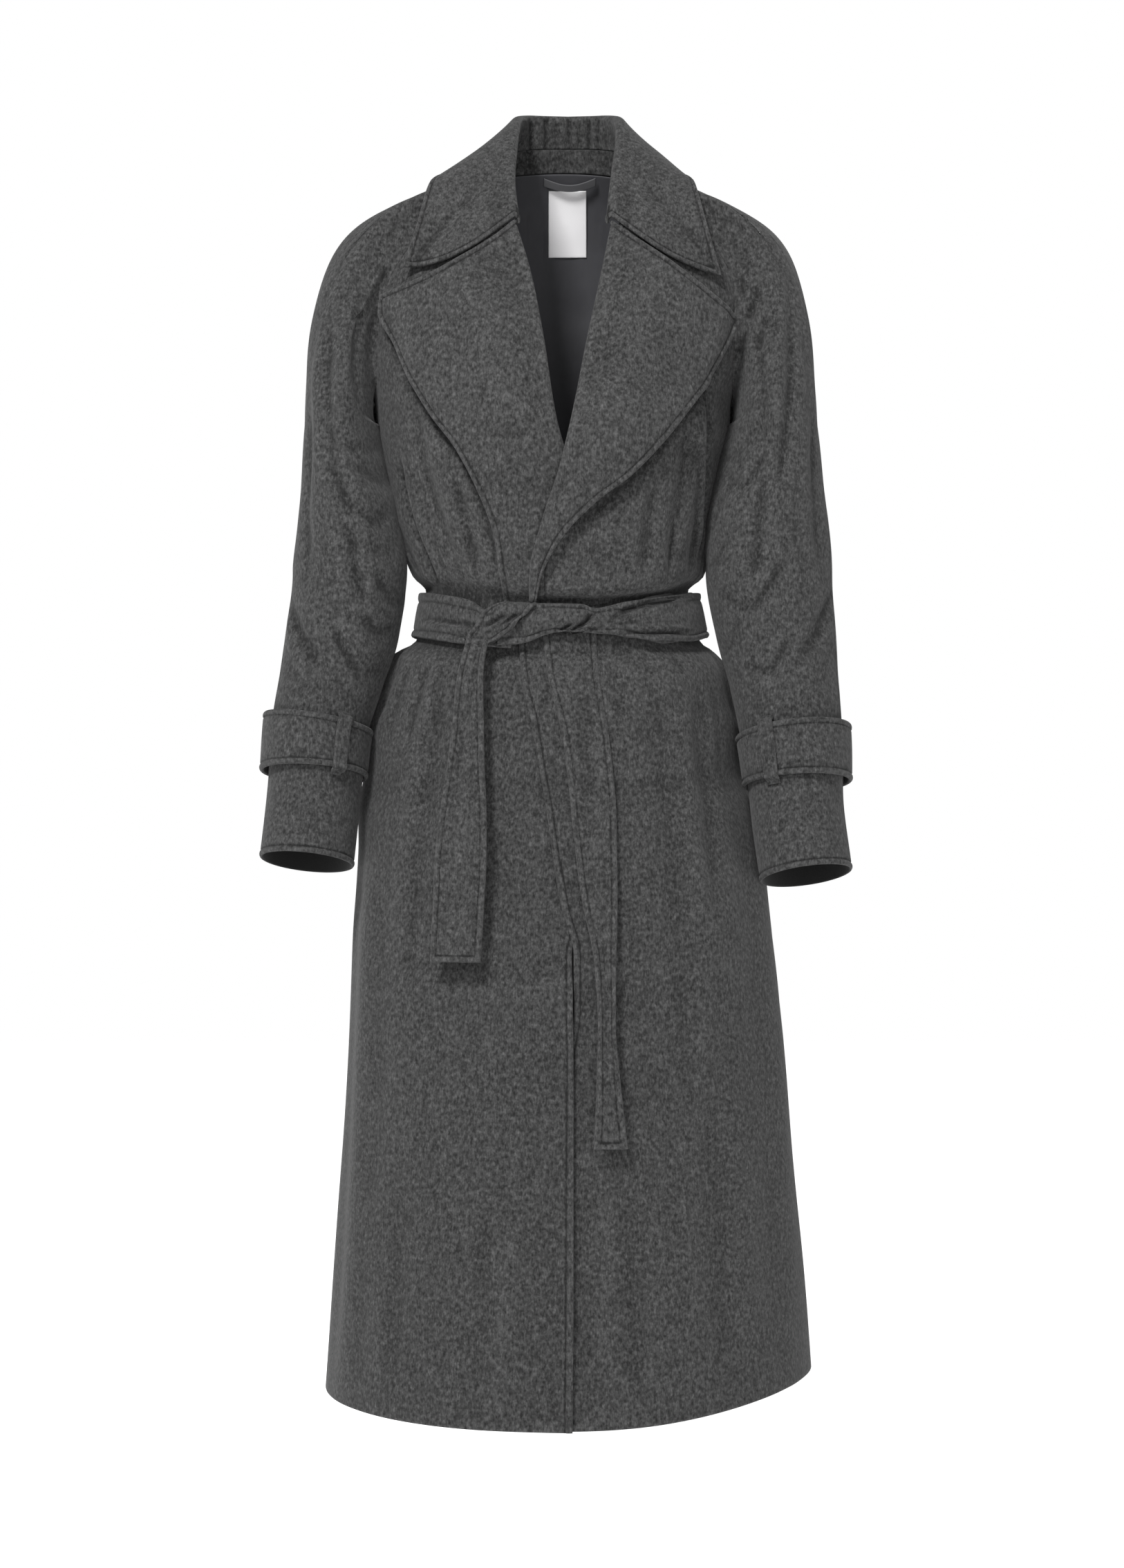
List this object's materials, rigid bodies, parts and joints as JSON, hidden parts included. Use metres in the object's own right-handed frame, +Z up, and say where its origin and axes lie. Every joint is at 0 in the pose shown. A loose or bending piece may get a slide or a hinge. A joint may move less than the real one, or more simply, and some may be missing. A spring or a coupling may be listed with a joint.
{
  "type": "trench coat",
  "caption": "Long belted coat in thick wool with wide lapels, a folded collar, raglan sleeves with cuff straps and a tied waist belt.",
  "frame": {"origin": "base of the neck, in the middle between the shoulders, where the wearer's shoulders carry the coat", "axes": "+Z up, -Y to the front of the coat, +X to the wearer's left"},
  "size_m": [0.5794, 0.3653, 1.2836],
  "materials": {
    "wool": "brushed melange wool coating",
    "lining": "smooth satin lining",
    "label": "woven tape"
  },
  "bodies": {
    "root": {"front_left": "wool", "front_right": "wool", "back_left": "wool", "back_right": "wool", "sleeve_front_left": "wool", "sleeve_back_left": "wool", "sleeve_front_right": "wool", "sleeve_back_right": "wool", "lapel_left": "wool", "lapel_right": "wool", "collar_fall": "wool", "collar_stand": "wool", "cuff_strap_left": "wool", "cuff_strap_right": "wool", "cuff_loop_left": "wool", "cuff_loop_right": "wool", "belt_band": "wool", "belt_knot": "wool", "belt_tail_short": "wool", "belt_tail_long": "wool", "back_lining": "lining", "hanger_loop": "lining", "neck_label": "label"}
  },
  "joints": []
}
